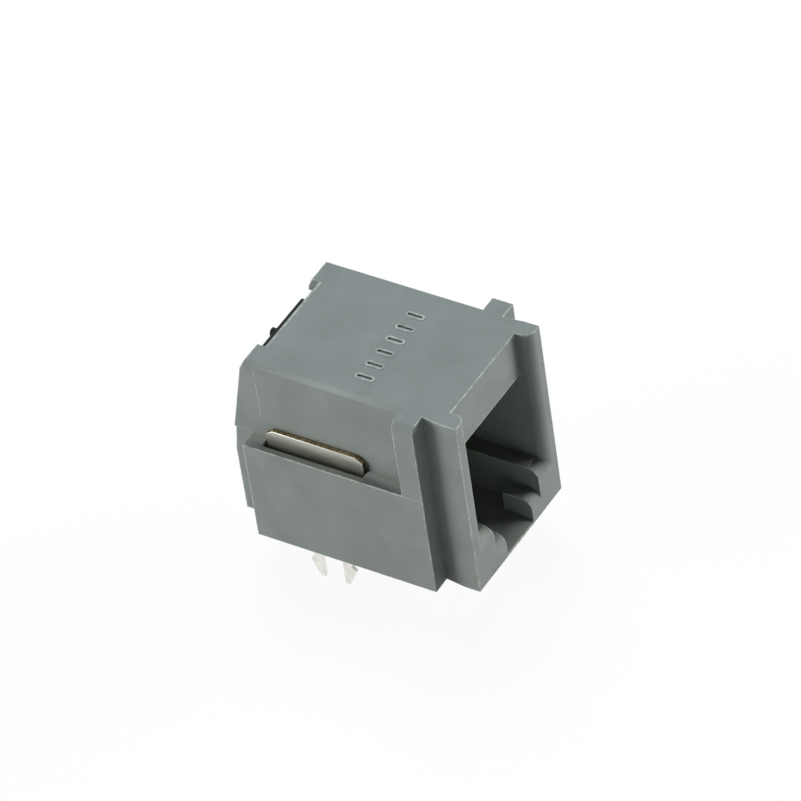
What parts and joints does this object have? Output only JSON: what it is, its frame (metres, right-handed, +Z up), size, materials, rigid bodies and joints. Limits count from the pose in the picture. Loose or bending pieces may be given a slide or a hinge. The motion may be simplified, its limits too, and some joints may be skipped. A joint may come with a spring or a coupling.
{
  "type": "modular jack",
  "caption": "Right-angle board jack for a handset plug: moulded housing with panel stops, latch-down opening, sprung wire contacts on a rear insert and barbed board locks.",
  "frame": {"origin": "on the board's face, under the housing, midway between the two board locks", "axes": "+Z up from the board, +Y the way the plug goes in so the mouth faces -Y, +X across the mouth"},
  "size_m": [0.0124, 0.0171, 0.0167],
  "materials": {
    "housing_plastic": "moulded grey thermoplastic, satin",
    "insert_plastic": "moulded black thermoplastic, satin",
    "contact_wire": "gold plated bronze wire, tinned tails",
    "lock_sheet": "bright tin plated bronze sheet, raw stamped edges"
  },
  "bodies": {
    "root": {"housing": "housing_plastic", "contact_insert": "insert_plastic", "contact_1": "contact_wire", "contact_2": "contact_wire", "contact_3": "contact_wire", "contact_4": "contact_wire", "board_lock_left": "lock_sheet", "board_lock_right": "lock_sheet"}
  },
  "joints": []
}
